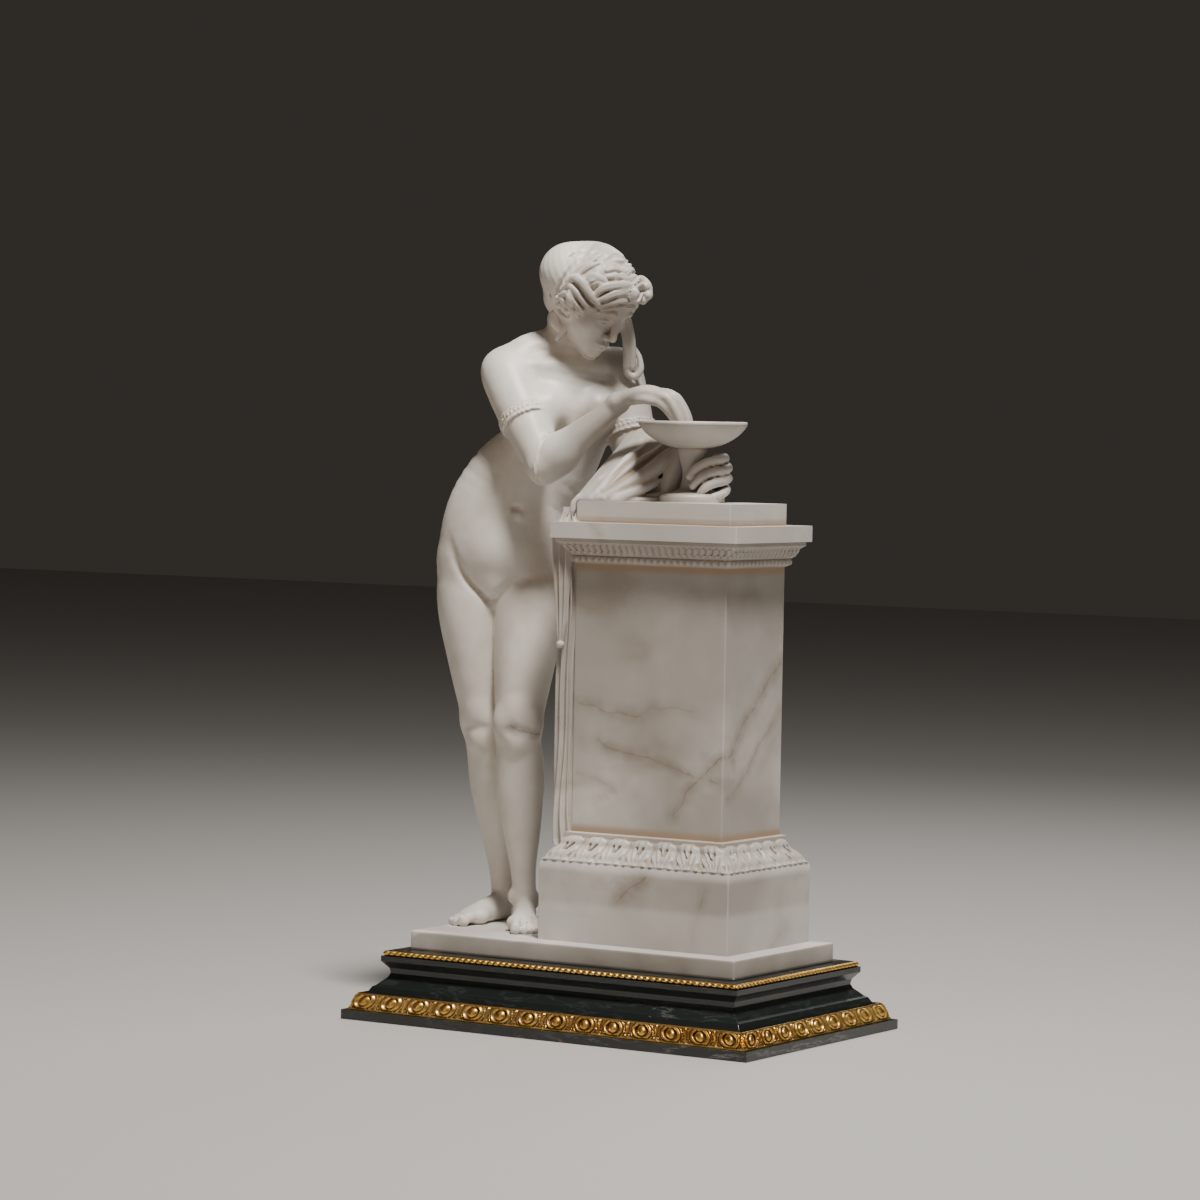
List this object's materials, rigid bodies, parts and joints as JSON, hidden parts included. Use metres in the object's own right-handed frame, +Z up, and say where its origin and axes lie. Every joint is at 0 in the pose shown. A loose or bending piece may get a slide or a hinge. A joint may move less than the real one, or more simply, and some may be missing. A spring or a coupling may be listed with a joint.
{
  "type": "marble statue on plinth",
  "caption": "Standing nude figure leaning over a draped square pedestal with a shallow dish, carved as one group on a slab, on a low painted and gilt plinth.",
  "frame": {"origin": "middle of the plinth's underside, where it rests", "axes": "+Z up, -Y is the front that the long side of the plinth faces, +X runs from the figure to the pedestal"},
  "size_m": [0.4588, 0.292, 0.7631],
  "materials": {
    "marble": "smoothly finished white marble with grey-brown veins and cream stains",
    "painted_wood": "varnished paint in imitation of black-green marble with grey-white veins",
    "gilt_wood": "burnished gilding, worn dark in the hollows"
  },
  "bodies": {
    "root": {"marble_group": "marble", "plinth_carcass": "painted_wood", "gilt_moulding_front": "gilt_wood", "gilt_moulding_right": "gilt_wood", "gilt_moulding_back": "gilt_wood", "gilt_moulding_left": "gilt_wood", "gilt_beading_front": "gilt_wood", "gilt_beading_right": "gilt_wood", "gilt_beading_back": "gilt_wood", "gilt_beading_left": "gilt_wood"}
  },
  "joints": []
}
